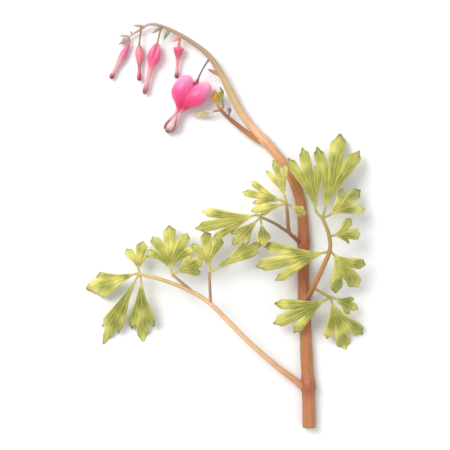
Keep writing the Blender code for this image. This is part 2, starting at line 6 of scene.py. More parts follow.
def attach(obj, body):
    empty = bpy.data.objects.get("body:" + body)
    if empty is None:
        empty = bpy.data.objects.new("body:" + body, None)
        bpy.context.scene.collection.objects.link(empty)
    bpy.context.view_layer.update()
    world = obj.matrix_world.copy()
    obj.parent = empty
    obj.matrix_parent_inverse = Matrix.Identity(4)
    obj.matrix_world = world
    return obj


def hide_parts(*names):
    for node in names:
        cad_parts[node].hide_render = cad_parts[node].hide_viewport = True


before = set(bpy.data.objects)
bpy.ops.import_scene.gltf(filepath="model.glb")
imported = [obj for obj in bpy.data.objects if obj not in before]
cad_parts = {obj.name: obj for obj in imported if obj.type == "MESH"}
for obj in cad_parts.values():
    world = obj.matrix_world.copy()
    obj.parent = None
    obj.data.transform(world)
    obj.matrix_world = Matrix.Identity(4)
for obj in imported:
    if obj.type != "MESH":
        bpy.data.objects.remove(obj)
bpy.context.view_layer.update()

mm = 0.001  # every size below is in millimetres, with the table at z = 0
curveSteps = 24  # short steps between two given points of a curve
smoothAngle = 50  # edges sharper than this many degrees stay crisp


# small tools for shapes

def deselectAll():
    if bpy.context.object and bpy.context.object.mode != "OBJECT":
        bpy.ops.object.mode_set(mode="OBJECT")
    bpy.ops.object.select_all(action="DESELECT")


def pick(*pieces):
    deselectAll()
    for piece in pieces:
        piece.select_set(True)
    bpy.context.view_layer.objects.active = pieces[0]


def keyed(keys, place):  # smooth value between (place, value) keys
    places, values = [k[0] for k in keys], [k[1] for k in keys]
    last = len(keys) - 1
    slopes = []
    for i in range(last + 1):
        low, high = max(i - 1, 0), min(i + 1, last)
        slopes.append((values[high] - values[low]) / (places[high] - places[low]))
    place = min(max(place, places[0]), places[-1])
    i = max(k for k in range(last) if places[k] <= place)
    span = places[i + 1] - places[i]
    u = (place - places[i]) / span
    return (
        values[i] * (2 * u**3 - 3 * u**2 + 1) + slopes[i] * span * (u**3 - 2 * u**2 + u)
        + values[i + 1] * (3 * u**2 - 2 * u**3) + slopes[i + 1] * span * (u**3 - u**2)
    )


def smoothLine(points, count):  # evenly spaced points on a curve through the given ones
    knots = [Vector((*point, 0.0)[:3]) for point in points]
    knots = [2 * knots[0] - knots[1], *knots, 2 * knots[-1] - knots[-2]]
    fine = []
    for a, b, c, d in zip(knots, knots[1:], knots[2:], knots[3:]):
        bend, turn = 2 * a - 5 * b + 4 * c - d, 3 * b - a - 3 * c + d
        for step in range(curveSteps):
            u = step / curveSteps
            fine.append(0.5 * (2 * b + (c - a) * u + bend * u**2 + turn * u**3))
    fine.append(knots[-2])
    reach = [0.0]
    for a, b in zip(fine, fine[1:]):
        reach.append(reach[-1] + (b - a).length)
    even, i = [], 0
    for step in range(count):
        wanted = reach[-1] * step / (count - 1)
        while i < len(reach) - 2 and reach[i + 1] < wanted:
            i += 1
        even.append(fine[i].lerp(fine[i + 1], (wanted - reach[i]) / (reach[i + 1] - reach[i])))
    return even


def smoothStep(low, high, value):
    u = min(max((value - low) / (high - low), 0.0), 1.0)
    return u * u * (3 - 2 * u)


def linear(colour):  # a screen colour, 0 to 255, as light
    light = []
    for part in colour:
        share = part / 255
        light.append(share / 12.92 if share <= 0.04045 else ((share + 0.055) / 1.055) ** 2.4)
    return Vector(light)


def blendKeys(keys, place):  # smooth colour between (place, colour) keys
    return Vector([keyed([(k[0], linear(k[1])[i]) for k in keys], place) for i in range(3)])


def onRing(angle, size, height):
    return Vector((math.cos(angle) * size, math.sin(angle) * size, height))


def paintAndFlow(piece, rows):  # rows: for every vertex its colour and its place along the grain
    paint = piece.data.attributes.new("paint", "FLOAT_COLOR", "POINT")
    flow = piece.data.attributes.new("flow", "FLOAT_VECTOR", "POINT")
    for i, (colour, place) in enumerate(rows):
        paint.data[i].color = (*[min(max(c, 0.0), 1.0) for c in colour], 1.0)
        flow.data[i].vector = place


def addGrid(name, across, along):
    deselectAll()
    bpy.ops.mesh.primitive_grid_add(
        x_subdivisions=across, y_subdivisions=along, size=2.0, location=(0, 0, 0)
    )
    bpy.context.object.name = name
    return bpy.context.object


def addBall(name, segments, rings, radius):
    deselectAll()
    bpy.ops.mesh.primitive_uv_sphere_add(
        segments=segments, ring_count=rings, radius=radius, location=(0, 0, 0)
    )
    bpy.context.object.name = name
    return bpy.context.object


def tube(name, line, radii, sides):  # a round stalk along a line
    deselectAll()
    bpy.ops.curve.primitive_bezier_curve_add()
    piece = bpy.context.object
    piece.name = name
    curve = piece.data
    curve.splines.clear()
    spline = curve.splines.new("POLY")
    spline.points.add(len(line) - 1)
    for point, place, radius in zip(spline.points, line, radii):
        point.co = (*place, 1.0)
        point.radius = radius
    curve.dimensions = "3D"
    curve.bevel_depth = 1.0
    curve.bevel_resolution = sides // 2 - 2
    curve.use_fill_caps = True
    bpy.ops.object.convert(target="MESH")
    bpy.ops.object.mode_set(mode="EDIT")
    bpy.ops.mesh.select_all(action="SELECT")
    bpy.ops.mesh.remove_doubles(threshold=0.0005)  # welds the caps to the wall
    bpy.ops.object.mode_set(mode="OBJECT")
    return bpy.context.object


def measure(piece, line):  # each vertex of a tube: index on its line, angle round it, distance out
    tree = kdtree.KDTree(len(line))
    for i, point in enumerate(line):
        tree.insert(point, i)
    tree.balance()
    found = []
    for vertex in piece.data.vertices:
        _, i, _ = tree.find(vertex.co)
        along = (line[min(i + 1, len(line) - 1)] - line[max(i - 1, 0)]).normalized()
        across = along.cross(Vector((0, 0, 1))).normalized()
        upward = across.cross(along)
        out = vertex.co - line[i]
        found.append((i, math.atan2(out.dot(upward), out.dot(across)), out - along * out.dot(along)))
    return found


def finishPiece(piece, nodes, material):  # sets it at the origin in metres, tied to the frame
    pick(piece)
    bpy.ops.object.transform_apply(location=True, rotation=True, scale=True)
    piece.scale = (mm, mm, mm)
    bpy.ops.object.transform_apply(location=True, rotation=True, scale=True)
    bpy.ops.object.mode_set(mode="EDIT")
    bpy.ops.mesh.select_all(action="SELECT")
    bpy.ops.mesh.normals_make_consistent(inside=False)
    bpy.ops.object.mode_set(mode="OBJECT")
    bpy.ops.object.shade_smooth_by_angle(angle=math.radians(smoothAngle))
    piece.data.materials.clear()
    piece.data.materials.append(material)
    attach(piece, "root")
    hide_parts(*nodes)
    print("made", piece.name, len(piece.data.polygons), "faces")


def joinPieces(name, pieces):
    pick(*pieces)
    bpy.ops.object.join()
    joined = bpy.context.object
    joined.name = name
    joined.data.name = name
    return joined


# materials: the painted colour of each piece, with living tissue's own mottling, grain and gloss over it

def setInputs(node, values):
    for name, value in values.items():
        node.inputs[name].default_value = value


def addPattern(tree, kind, place, values):
    node = tree.nodes.new(kind)
    setInputs(node, values)
    tree.links.new(place, node.inputs["Vector"])
    return node


def fitted(tree, pattern, values):  # the strength of a pattern, fitted to a range
    node = tree.nodes.new("ShaderNodeMapRange")
    setInputs(node, values)
    tree.links.new(pattern.outputs["Fac"], node.inputs["Value"])
    return node.outputs["Result"]


def tissueMaterial(name, look):
    material = bpy.data.materials.new(name)
    material.use_nodes = True
    tree = material.node_tree
    nodes, links = tree.nodes, tree.links
    shader = nodes["Principled BSDF"]
    paint = nodes.new("ShaderNodeAttribute")
    paint.attribute_name = "paint"
    flow = nodes.new("ShaderNodeAttribute")
    flow.attribute_name = "flow"
    place = nodes.new("ShaderNodeTexCoord").outputs["Object"]

    # broad uneven colour, streaks that run with the tissue, and the tiny cells of the skin
    sizes = {"Scale": look["mottleScale"], "Detail": 3.0}
    mottle = addPattern(tree, "ShaderNodeTexNoise", place, sizes)
    sizes = {"Scale": look["grainScale"], "Detail": 4.0}
    grain = addPattern(tree, "ShaderNodeTexNoise", flow.outputs["Vector"], sizes)
    cells = addPattern(tree, "ShaderNodeTexVoronoi", place, {"Scale": look["cellScale"]})

    colour = paint.outputs["Color"]
    for pattern, share in ((mottle, look["mottle"]), (grain, look["grain"])):  # both tint the colour
        strength = fitted(tree, pattern, {"From Min": 0.3, "From Max": 0.7, "To Max": share})
        tinted = nodes.new("ShaderNodeMix")
        tinted.data_type = "RGBA"
        setInputs(tinted, {"B": (*linear(look["tint"]), 1.0)})
        links.new(strength, tinted.inputs["Factor"])
        links.new(colour, tinted.inputs["A"])
        colour = tinted.outputs["Result"]
    lift = nodes.new("ShaderNodeHueSaturation")
    links.new(colour, lift.inputs["Color"])
    light = fitted(tree, grain, {"To Min": 1.0 - look["spread"], "To Max": 1.0 + look["spread"]})
    links.new(light, lift.inputs["Value"])
    links.new(lift.outputs["Color"], shader.inputs["Base Color"])

    low, high = look["roughness"]
    links.new(fitted(tree, mottle, {"To Min": low, "To Max": high}), shader.inputs["Roughness"])

    fineBump = nodes.new("ShaderNodeBump")
    setInputs(fineBump, {"Strength": look["cellBump"], "Distance": 0.00004})
    links.new(cells.outputs["Distance"], fineBump.inputs["Height"])
    grainBump = nodes.new("ShaderNodeBump")
    setInputs(grainBump, {"Strength": look["grainBump"], "Distance": 0.00012})
    links.new(grain.outputs["Fac"], grainBump.inputs["Height"])
    links.new(fineBump.outputs["Normal"], grainBump.inputs["Normal"])
    links.new(grainBump.outputs["Normal"], shader.inputs["Normal"])

    setInputs(shader, {
        "Subsurface Weight": look["depth"], "Subsurface Radius": look["bleed"],
        "Subsurface Scale": look["depthScale"], "Specular IOR Level": look["specular"],
        "Sheen Weight": look["sheen"], "Sheen Roughness": 0.5,
        "Coat Weight": look["coat"], "Coat Roughness": 0.35,
    })
    return material


stemLook = {
    "mottleScale": 160.0, "grainScale": 1.6, "cellScale": 5200.0,
    "tint": (118, 74, 48), "mottle": 0.18, "grain": 0.3,
    "spread": 0.12, "roughness": (0.34, 0.55), "cellBump": 0.25, "grainBump": 0.5, "depth": 0.12,
    "bleed": (1.0, 0.4, 0.2), "depthScale": 0.0008, "specular": 0.45, "sheen": 0.05, "coat": 0.05,
}
leafLook = {
    "mottleScale": 190.0, "grainScale": 2.4, "cellScale": 3800.0,
    "tint": (138, 140, 50), "mottle": 0.3, "grain": 0.25,
    "spread": 0.1, "roughness": (0.42, 0.62), "cellBump": 0.35, "grainBump": 0.35, "depth": 0.2,
    "bleed": (0.5, 0.8, 0.15), "depthScale": 0.0006, "specular": 0.35, "sheen": 0.12, "coat": 0.0,
}
petalLook = {
    "mottleScale": 240.0, "grainScale": 2.2, "cellScale": 6000.0,
    "tint": (196, 28, 88), "mottle": 0.25, "grain": 0.35,
    "spread": 0.08, "roughness": (0.28, 0.45), "cellBump": 0.3, "grainBump": 0.4, "depth": 0.3,
    "bleed": (1.0, 0.3, 0.45), "depthScale": 0.0012, "specular": 0.45, "sheen": 0.15, "coat": 0.08,
}
paleLook = {
    "mottleScale": 260.0, "grainScale": 2.0, "cellScale": 6000.0,
    "tint": (190, 130, 140), "mottle": 0.2, "grain": 0.25,
    "spread": 0.06, "roughness": (0.3, 0.45), "cellBump": 0.25, "grainBump": 0.35, "depth": 0.35,
    "bleed": (1.0, 0.6, 0.55), "depthScale": 0.0012, "specular": 0.45, "sheen": 0.1, "coat": 0.08,
}
stemSkin = tissueMaterial("stemSkin", stemLook)
leafSkin = tissueMaterial("leafSkin", leafLook)
petalSkin = tissueMaterial("petalSkin", petalLook)
paleSkin = tissueMaterial("paleSkin", paleLook)


# the stem, from its cut end to the tip of the flower spray

stem = {
    "route": (
        (33.5, -80.4), (33.2, -68.0), (32.5, -53.0), (31.8, -38.0), (31.3, -23.0), (31.3, -8.0),
        (31.0, 2.0), (29.4, 12.0), (25.6, 20.8), (19.9, 28.9), (12.6, 36.9), (6.4, 44.6),
        (1.9, 53.0), (-1.9, 60.5), (-6.4, 66.9), (-12.5, 71.9), (-19.3, 76.1), (-25.7, 79.0),
        (-30.0, 79.7), (-33.4, 77.9), (-37.0, 75.7), (-39.6, 73.9),
    ),
    "radius": (
        (0.0, 2.6), (0.3, 2.25), (0.5, 1.95), (0.62, 1.65), (0.75, 1.3), (0.86, 0.85), (0.94, 0.6),
        (1.0, 0.35),
    ),
    "lift": ((0.0, 0.0), (0.45, 0.0), (0.6, 0.9), (0.76, 3.6), (0.86, 4.1), (0.94, 2.9), (1.0, 1.7)),
    "joints": ((32.9, -64.0), (31.6, -31.0), (31.3, -7.0), (15.6, 33.6)),
    "swell": 0.22, "swellLength": 3.0, "press": 0.12, "sides": 40, "stations": 440,
    "ridges": 9, "ridgeDepth": 0.045, "ridgeTwist": 3.0, "wobble": 0.05, "lumps": ((0.16, 1.0), (0.5, 0.6)),
    "scarDepth": 0.12, "scarPlace": 2.4, "scarWidth": 0.5, "tintLength": 4.5,
    # colour along the stem from the cut; its palest keys, round the bend at 0.58 to 0.62, lay a painted
    # highlight over the stem's own colour
    "colours": (
        (0.0, (194, 130, 84)), (0.2, (196, 122, 74)), (0.4, (200, 122, 72)), (0.5, (224, 152, 98)),
        (0.58, (246, 186, 138)), (0.62, (252, 202, 164)), (0.67, (232, 194, 144)), (0.73, (212, 186, 132)),
        (0.8, (192, 164, 130)), (0.88, (178, 150, 128)), (0.95, (192, 168, 152)), (1.0, (208, 188, 172)),
    ),
    # shade is painted shade on the stem's underside, and also the colour of its real dark flecks
    "shade": (104, 66, 44), "streak": (150, 146, 84), "jointTint": (160, 70, 54),
    "shares": {"streak": 0.5, "fleck": 0.28, "under": 0.5, "joint": 0.5},
    "ends": {"streak": (0.62, 0.5), "fleck": (0.8, 0.6), "joint": (0.6, 0.45)},  # where each fades out
    "streakSize": (2.2, 7), "fleckSize": (6, 45), "grainSize": (1.4, 9.0),  # round the stem and along it
    "cut": (206, 206, 150), "cutRim": (120, 128, 66), "pith": (226, 222, 190),
    "pithEdge": (0.25, 0.5), "rimEdge": (0.78, 0.95), "rimReach": 0.2,
    "cutSteps": (  # rings from the rim inwards: size against the rim, and depth
        (0.97, -0.08), (0.88, -0.12), (0.8, -0.06), (0.74, -0.1), (0.45, -0.08), (0.34, 0.2), (0.15, 0.5),
    ),
}


def stemLine(count):
    line = smoothLine(stem["route"], count)
    radii = []
    for i, point in enumerate(line):
        place = i / (count - 1)
        radius = keyed(stem["radius"], place)
        for joint in stem["joints"]:
            away = (Vector((*joint, 0.0)) - Vector((point.x, point.y, 0.0))).length
            radius *= 1 + stem["swell"] * math.exp(-((away / stem["swellLength"]) ** 2))
        point.z = radius - stem["press"] + max(0.0, keyed(stem["lift"], place))
        radii.append(radius)
    return line, radii


def makeStem():
    count = stem["stations"]
    line, radii = stemLine(count)
    piece = tube("mainStem", line, radii, stem["sides"])
    shares, ends = stem["shares"], stem["ends"]
    rows = []
    for vertex, (i, angle, out) in zip(piece.data.vertices, measure(piece, line)):
        place = i / (count - 1)
        point = line[i]
        nearJoint, scar = 0.0, 0.0  # a tint round each joint, and a ring beside it
        for joint in stem["joints"]:
            away = math.hypot(point.x - joint[0], point.y - joint[1])
            nearJoint = max(nearJoint, math.exp(-((away / stem["tintLength"]) ** 2)))
            scar = max(scar, math.exp(-(((away - stem["scarPlace"]) / stem["scarWidth"]) ** 2)))
        ridge = math.cos(angle * stem["ridges"] + stem["ridgeTwist"] * place) * stem["ridgeDepth"]
        lump = sum(noise.noise(vertex.co * scale) * share for scale, share in stem["lumps"])
        if 0 < i < count - 1:
            vertex.co += out * (ridge + stem["wobble"] * lump - scar * stem["scarDepth"] / radii[i])
        vertex.co.z = max(vertex.co.z, 0.0)

        size, pace = stem["streakSize"]  # green streaks
        streak = smoothStep(0.0, 0.5, noise.noise(onRing(angle, size, place * pace)))
        streak *= shares["streak"] * smoothStep(*ends["streak"], place)
        size, pace = stem["fleckSize"]  # dark flecks
        shift = Vector((3.0, 0.0, 0.0))
        fleck = smoothStep(0.1, 0.6, noise.noise(onRing(angle, size, place * pace) + shift))
        fleck *= shares["fleck"] * smoothStep(*ends["fleck"], place)
        # painted shade: the stem's underside takes the shade colour
        under = shares["under"] * smoothStep(0.3, -0.9, math.sin(angle))
        nearJoint *= shares["joint"] * smoothStep(*ends["joint"], place)
        colour = blendKeys(stem["colours"], place).lerp(linear(stem["streak"]), streak)
        colour = colour.lerp(linear(stem["shade"]), under + fleck)
        colour = colour.lerp(linear(stem["jointTint"]), nearJoint)
        size, pace = stem["grainSize"]
        rows.append((colour, onRing(angle, size, place * pace)))
    paintAndFlow(piece, rows)
    return cutFace(piece, line, radii[0])


def cutFace(piece, line, radius):  # the clean cut: a green rim, paler flesh and a soft hollow pith
    pick(piece)
    bpy.ops.object.mode_set(mode="EDIT")
    bpy.ops.mesh.select_mode(type="FACE")
    bpy.ops.mesh.select_all(action="DESELECT")
    bpy.ops.object.mode_set(mode="OBJECT")
    cap = max((face for face in piece.data.polygons if face.normal.y < -0.9), key=lambda face: face.area)
    cap.select = True
    bpy.ops.object.mode_set(mode="EDIT")
    bpy.ops.mesh.delete(type="ONLY_FACE")
    bpy.ops.mesh.select_mode(type="VERT")
    bpy.ops.mesh.select_all(action="DESELECT")
    bpy.ops.object.mode_set(mode="OBJECT")
    for vertex in piece.data.vertices:  # the open rim at the cut
        vertex.select = vertex.co.y < line[0].y + stem["rimReach"]
    bpy.ops.object.mode_set(mode="EDIT")
    first, size = len(piece.data.vertices), 1.0
    for share, sink in stem["cutSteps"]:
        bpy.ops.mesh.extrude_region_move()
        bpy.ops.object.mode_set(mode="OBJECT")
        for vertex in piece.data.vertices:
            if vertex.select:
                out = vertex.co - line[0]
                vertex.co = line[0] + Vector((out.x * share / size, sink, out.z * share / size))
        size = share
        bpy.ops.object.mode_set(mode="EDIT")
    bpy.ops.mesh.merge(type="CENTER")
    bpy.ops.object.mode_set(mode="OBJECT")
    paint = piece.data.attributes["paint"]
    for vertex in list(piece.data.vertices)[first:]:
        away = math.hypot(vertex.co.x - line[0].x, vertex.co.z - line[0].z) / radius
        colour = linear(stem["pith"]).lerp(linear(stem["cut"]), smoothStep(*stem["pithEdge"], away))
        colour = colour.lerp(linear(stem["cutRim"]), smoothStep(*stem["rimEdge"], away))
        paint.data[vertex.index].color = (*colour, 1.0)
    return piece


# the flowers' thin stalks, and the small bracts under them

stalks = {
    "open": {
        "route": (
            (-5.8, 66.3, 4.9), (-7.8, 63.2, 5.6), (-9.7, 59.7, 5.8), (-11.1, 56.4, 5.3), (-12.0, 55.2, 4.9),
        ),
        "radius": ((0.0, 0.62), (0.15, 0.42), (0.72, 0.34), (0.84, 0.6), (0.93, 0.95), (1.0, 0.6)),
        "colours": (
            (0.0, (170, 140, 124)), (0.3, (136, 112, 128)), (0.7, (100, 76, 96)), (0.82, (150, 56, 76)),
            (1.0, (196, 50, 92)),
        ),
    },
    "young": {
        "route": ((-25.1, 78.7, 4.2), (-25.8, 76.1, 4.4), (-26.5, 73.4, 3.9), (-27.0, 70.9, 3.3)),
        "radius": ((0.0, 0.55), (0.2, 0.38), (0.75, 0.36), (1.0, 0.62)),
        "colours": (
            (0.0, (140, 132, 96)), (0.4, (138, 158, 104)), (0.8, (150, 150, 104)), (1.0, (206, 92, 116)),
        ),
    },
    "tight": {
        "route": ((-17.3, 74.7, 4.8), (-17.9, 73.2, 4.4), (-18.3, 70.4, 3.6)),
        "radius": ((0.0, 0.6), (0.4, 0.5), (1.0, 0.75)),
        "colours": ((0.0, (196, 160, 120)), (0.5, (232, 150, 134)), (1.0, (224, 120, 130))),
    },
    "slim": {
        "route": ((-33.3, 77.8, 3.0), (-33.6, 75.8, 3.2), (-34.1, 71.2, 2.5)),
        "radius": ((0.0, 0.5), (0.3, 0.34), (0.8, 0.34), (1.0, 0.5)),
        "colours": ((0.0, (150, 130, 120)), (0.5, (136, 128, 100)), (1.0, (168, 110, 100))),
    },
    "end": {
        "route": ((-38.4, 74.8, 2.2), (-38.2, 74.0, 2.1), (-37.9, 72.2, 2.0)),
        "radius": ((0.0, 0.45), (0.5, 0.36), (1.0, 0.45)),
        "colours": ((0.0, (170, 150, 140)), (1.0, (190, 120, 130))),
    },
}
stalkSkin = {"fewest": 8, "ripple": 0.06, "rippleScale": 0.8, "shade": 0.25, "grainSize": (0.9, 0.06)}


def makeStalk(name, spec, sides=16, spacing=0.35):
    knots = [Vector(point) for point in spec["route"]]
    length = sum((b - a).length for a, b in zip(knots, knots[1:]))
    count = max(stalkSkin["fewest"], round(length / spacing))
    line = smoothLine(spec["route"], count)
    radii = [keyed(spec["radius"], i / (count - 1)) for i in range(count)]
    piece = tube(name, line, radii, sides)
    rows = []
    for vertex, (i, angle, out) in zip(piece.data.vertices, measure(piece, line)):
        place = i / (count - 1)
        if 0 < i < count - 1:
            lump = math.cos(3 * angle + 1.0) + noise.noise(vertex.co * stalkSkin["rippleScale"])
            vertex.co += out * stalkSkin["ripple"] * lump
        vertex.co.z = max(vertex.co.z, 0.0)
        # painted shade: every stalk, leaf stalk and midrib is darker on its underside
        under = smoothStep(0.2, -0.9, math.sin(angle))
        colour = blendKeys(spec["colours"], place) * (1.0 - stalkSkin["shade"] * under)
        size, pace = stalkSkin["grainSize"]
        rows.append((colour, onRing(angle, size, place * length * pace)))
    paintAndFlow(piece, rows)
    return piece


bracts = (  # root, tip, half width, root colour, tip colour
    ((-1.7, 59.2, 4.6), (-6.9, 61.4, 6.2), 0.75, (222, 176, 140), (160, 92, 96)),
    ((-22.0, 77.3, 4.6), (-24.2, 73.4, 4.4), 0.7, (150, 150, 104), (120, 148, 96)),
    ((-24.6, 78.5, 4.2), (-28.9, 75.7, 5.0), 0.65, (150, 134, 110), (170, 150, 130)),
    ((-17.4, 74.9, 4.9), (-20.6, 72.2, 5.6), 0.75, (206, 160, 120), (226, 140, 130)),
    ((-32.0, 78.7, 3.3), (-36.6, 79.0, 4.4), 0.55, (168, 150, 140), (190, 172, 160)),
    ((-38.0, 75.0, 2.2), (-42.2, 75.4, 2.2), 0.5, (180, 160, 150), (196, 170, 166)),
    ((-39.2, 74.1, 1.9), (-42.4, 71.8, 1.4), 0.5, (180, 160, 150), (190, 130, 140)),
)
bractBlade = {
    "across": 8, "along": 18, "rootWidth": 0.22, "fullness": 0.8, "edge": 0.04, "fold": 0.5, "arch": 0.12,
    "thickness": 0.16, "keelLight": 0.15, "grainSize": 0.6,
}


def makeBract(name, root, tip, halfWidth, rootColour, tipColour):  # a narrow scale, folded like a keel
    piece = addGrid(name, bractBlade["across"], bractBlade["along"])
    root, tip = Vector(root), Vector(tip)
    forward = tip - root
    heading = forward.normalized()
    sideways = heading.cross(Vector((0, 0, 1))).normalized()
    upward = sideways.cross(heading)
    start = bractBlade["rootWidth"]
    rows = []
    for vertex in piece.data.vertices:
        across, along = vertex.co.x, (vertex.co.y + 1) / 2
        swell = math.sin(math.pi * min(start + (1 - start) * along, 1.0))
        width = halfWidth * (swell ** bractBlade["fullness"] + bractBlade["edge"])
        arch = bractBlade["arch"] * forward.length * math.sin(math.pi * along)
        lift = -abs(across) * width * bractBlade["fold"] + arch
        # painted highlight: the raised keel is lighter than the folded-down sides
        light = 1.0 + bractBlade["keelLight"] * (1 - abs(across))
        colour = linear(rootColour).lerp(linear(tipColour), along) * light
        rows.append((colour, (across * bractBlade["grainSize"], 0.0, along)))
        vertex.co = root + forward * along + sideways * across * width + upward * lift
    paintAndFlow(piece, rows)
    thicken(piece, bractBlade["thickness"], 0.0)
    return piece


def thicken(piece, thickness, offset):
    pick(piece)
    wall = piece.modifiers.new("thickness", "SOLIDIFY")
    wall.thickness = thickness
    wall.offset = offset
    bpy.ops.object.modifier_apply(modifier=wall.name)


tipBuds = (  # the youngest buds, at the very end of the spray: place, size, colour
    ((-40.3, 73.6, 1.7), 0.75, (196, 150, 150)), ((-40.9, 72.9, 1.4), 0.6, (206, 140, 150)),
    ((-40.2, 72.7, 1.5), 0.55, (176, 160, 140)), ((-37.2, 76.4, 2.6), 0.5, (176, 160, 140)),
)
tipBudShape = {"segments": 14, "rings": 10, "taper": 0.35, "width": 0.8, "length": 1.35, "grainSize": 0.5}


def makeTipBud(name, place, size, colour):
    piece = addBall(name, tipBudShape["segments"], tipBudShape["rings"], size)
    rows = []
    for vertex in piece.data.vertices:
        x, y, z = vertex.co
        # painted light: the bud is lighter on its upper side
        light = 0.85 + 0.2 * y / size  # lighter above
        rows.append((linear(colour) * light, vertex.co * tipBudShape["grainSize"]))
        width = (1.0 - tipBudShape["taper"] * z / size) * tipBudShape["width"]
        vertex.co = Vector((x * width, -z * tipBudShape["length"], y * width)) + Vector(place)
        vertex.co.z = max(vertex.co.z, 0.0)
    paintAndFlow(piece, rows)
    return piece


def makeMainStem():
    pieces = [makeStem()]
    for name, spec in stalks.items():
        pieces.append(makeStalk(name + "Stalk", spec))
    for i, spec in enumerate(bracts):
        pieces.append(makeBract("bract" + str(i), *spec))
    for i, spec in enumerate(tipBuds):
        pieces.append(makeTipBud("tipBud" + str(i), *spec))
    finishPiece(joinPieces("mainStem", pieces), ["main_stem"], stemSkin)


# leaves: stalks with lobed, veined blades

threeLobes = {"half": 0.333, "cleft": 0.41, "lobes": ((-0.65, 0.8), (0.02, 1.0), (0.667, 0.88))}
leftHeavy = {"half": 0.333, "cleft": 0.35, "lobes": ((-0.667, 0.92), (0.0, 1.0), (0.64, 0.74))}
rightHeavy = {"half": 0.333, "cleft": 0.41, "lobes": ((-0.64, 0.74), (0.0, 1.0), (0.667, 0.92))}
fiveLobes = {
    "half": 0.2, "cleft": 0.33, "lobes": ((-0.8, 0.7), (-0.4, 0.86), (0.0, 1.0), (0.4, 0.9), (0.8, 0.72)),
}
twoLobes = {"half": 0.4, "cleft": 0.46, "lobes": ((-0.6, 0.86), (0.2, 1.0), (0.9, 0.6))}
toothedLobe = {"half": 0.5, "cleft": 0.6, "lobes": ((-0.62, 0.76), (0.0, 1.0), (0.6, 0.82))}
broadLobe = {"half": 0.65, "cleft": 0.6, "lobes": ((-0.6, 0.84), (0.0, 1.0), (0.6, 0.78))}

bladeShape = {
    "across": 84, "along": 30, "root": 0.05, "point": 0.5, "side": 1.4, "spread": (0.5, 0.65, -0.15),
    "droop": 2.2, "thickness": 0.34, "tooth": 0.028, "teeth": 3, "uneven": 0.07, "unevenScale": 2.2,
    "crown": 0.75, "wave": 0.8, "waveScale": 0.12, "curlScale": 3.0, "roll": 0.2, "tipDrop": 0.5,
    "patch": 1.1, "patchScale": 0.2, "grainSize": (4.0, 0.9),
    "ribbing": {
        "width": 0.16, "rootWidth": 0.22, "sides": 5, "slant": 2.1, "sideWidth": 0.13, "sideShare": 0.5,
        "sink": 0.28, "pucker": 0.5,
    },
}
leafColours = {
    "yellow": (244, 232, 130), "green": (184, 186, 80), "deep": (112, 116, 24), "vein": (238, 234, 162),
    "pale": (240, 234, 166), "tip": (96, 72, 44), "under": (196, 200, 140),
}
leafShares = {"deep": 0.85, "vein": 0.6, "pale": 0.35, "tip": 0.8, "under": 0.6}


def lobeAt(across, fan):  # farthest lobe at a place across the fan, with its own place and reach
    best = None
    point = bladeShape["point"]
    for place, reach in fan["lobes"]:
        away = min(abs(across - place) / fan["half"], bladeShape["side"])
        reached = reach * (1 - fan["cleft"] * (point * away**2 + (1 - point) * away**4))
        if best is None or reached > best[0]:
            best = (reached, place, away)
    return best


def bladePoint(root, tip, arch, ahead, aside):
    forward = tip - root
    heading = Vector((forward.x, forward.y, 0.0)).normalized()
    sideways = heading.cross(Vector((0, 0, 1)))
    point = root + math.hypot(forward.x, forward.y) * (heading * ahead + sideways * aside)
    dome = arch * math.sin(math.pi * min(ahead, 1.0))
    point.z = root.z + forward.z * ahead + dome - bladeShape["droop"] * arch * aside**2
    return point


def ribbingAt(outward, away, gap):  # strength of the veins at a place, and of the raised panel between them
    ribbing = bladeShape["ribbing"]
    main = math.exp(-((gap / (ribbing["width"] + ribbing["rootWidth"] * (1 - outward))) ** 2))
    branch = (outward * ribbing["sides"] - away * ribbing["slant"] * (0.4 + outward)) % 1.0
    side = math.exp(-(((branch - 0.5) / ribbing["sideWidth"]) ** 2))
    side *= smoothStep(0.0, 0.12, away) * smoothStep(1.0, 0.7, away) * smoothStep(0.15, 0.35, outward)
    vein = max(main, ribbing["sideShare"] * side)
    return vein, (1 - vein) * math.sin(math.pi * min(away, 1.0)) * abs(math.sin(math.pi * branch))


def bladeRelief(outward, away, vein, panel):  # height over the flat blade, without its slow waves
    ribbing = bladeShape["ribbing"]
    crown = (1 - min(away, 1.0) ** 2) * math.sin(math.pi * min(outward, 1.0) * 0.8)
    drop = smoothStep(0.7, 1.0, outward) * bladeShape["tipDrop"]
    return ribbing["pucker"] * panel - ribbing["sink"] * vein + bladeShape["crown"] * crown - drop


def bladeColour(outward, away, vein, tone, patch):  # yellow-green, deeper up the middle, with browned tips
    ripe = min(max(tone + patch - 0.5, 0.0), 1.0)
    colour = linear(leafColours["yellow"]).lerp(linear(leafColours["green"]), ripe)
    middle = smoothStep(0.95, 0.2, away) * smoothStep(0.05, 0.4, outward) * smoothStep(1.0, 0.7, outward)
    middle = min(middle * (0.15 + patch), 1.0)
    colour = colour.lerp(linear(leafColours["deep"]), leafShares["deep"] * middle)
    colour = colour.lerp(linear(leafColours["vein"]), leafShares["vein"] * vein)
    edge = max(smoothStep(0.9, 1.0, outward), smoothStep(0.75, 1.0, away) * smoothStep(0.5, 0.9, outward))
    colour = colour.lerp(linear(leafColours["pale"]), leafShares["pale"] * edge)
    tip = smoothStep(0.9, 1.0, outward) * smoothStep(0.9, 0.2, away)
    return colour.lerp(linear(leafColours["tip"]), min(tip * (0.2 + patch), leafShares["tip"]))


